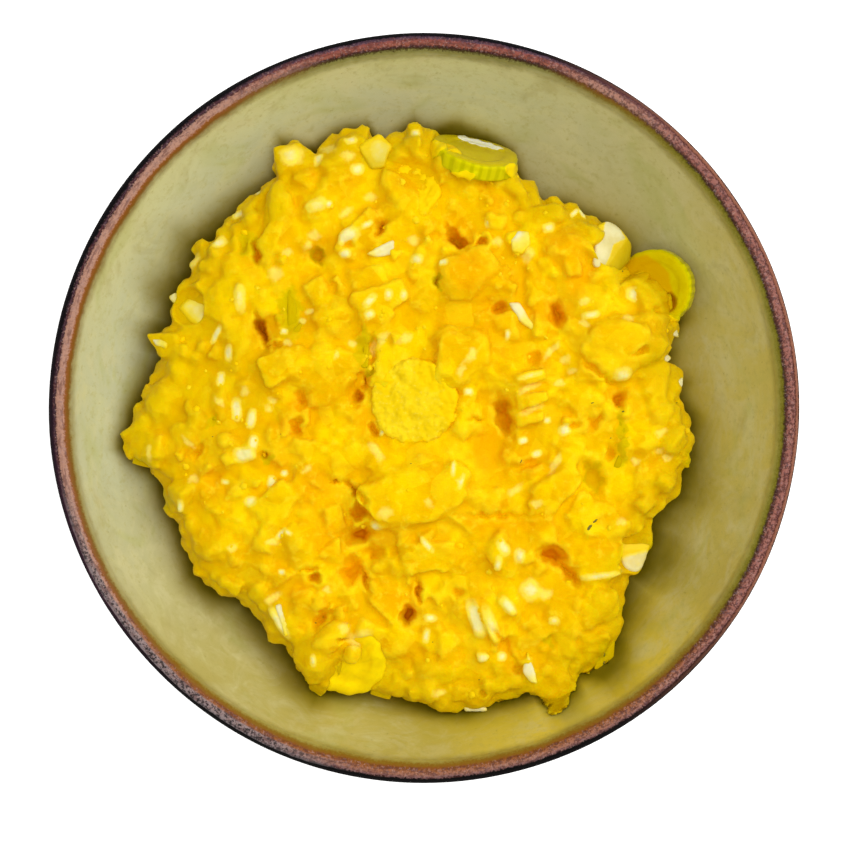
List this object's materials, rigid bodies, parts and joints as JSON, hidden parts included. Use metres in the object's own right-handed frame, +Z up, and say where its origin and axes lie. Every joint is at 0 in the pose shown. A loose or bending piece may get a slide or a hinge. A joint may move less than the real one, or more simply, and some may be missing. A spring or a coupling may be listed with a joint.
{
  "type": "bowl of egg salad",
  "caption": "Round stoneware bowl with a low foot ring and a rounded lip, holding a lumpy heap of egg salad with gherkin slices, yolk rounds and cuts of egg white.",
  "frame": {"origin": "middle of the underside of the foot ring, on the surface the bowl stands on", "axes": "+Z up, +X towards the right and +Y towards the top of the picture"},
  "size_m": [0.17, 0.17, 0.064],
  "materials": {
    "glazed_stoneware": "satin reactive glaze: sage cream inside, speckled mauve and copper brown on the rim, dark brown outside",
    "dressed_egg": "moist saffron-yellow dressing over chopped egg, softly glossy",
    "gherkin": "wet translucent yellow-green cut face with a crinkled green rind",
    "egg_yolk": "matt crumbly pale yellow",
    "egg_white": "smooth firm ivory, yellow where the dressing has run over it"
  },
  "bodies": {
    "root": {"bowl": "glazed_stoneware", "egg_salad": "dressed_egg", "pickle_slice_top": "gherkin", "pickle_slice_right": "gherkin", "pickle_slice_lower_left": "gherkin", "yolk_slice_middle": "egg_yolk", "yolk_slice_top": "egg_yolk", "egg_white_right": "egg_white", "egg_white_lower_right": "egg_white", "egg_white_upper_left": "egg_white", "egg_white_left": "egg_white"}
  },
  "joints": []
}
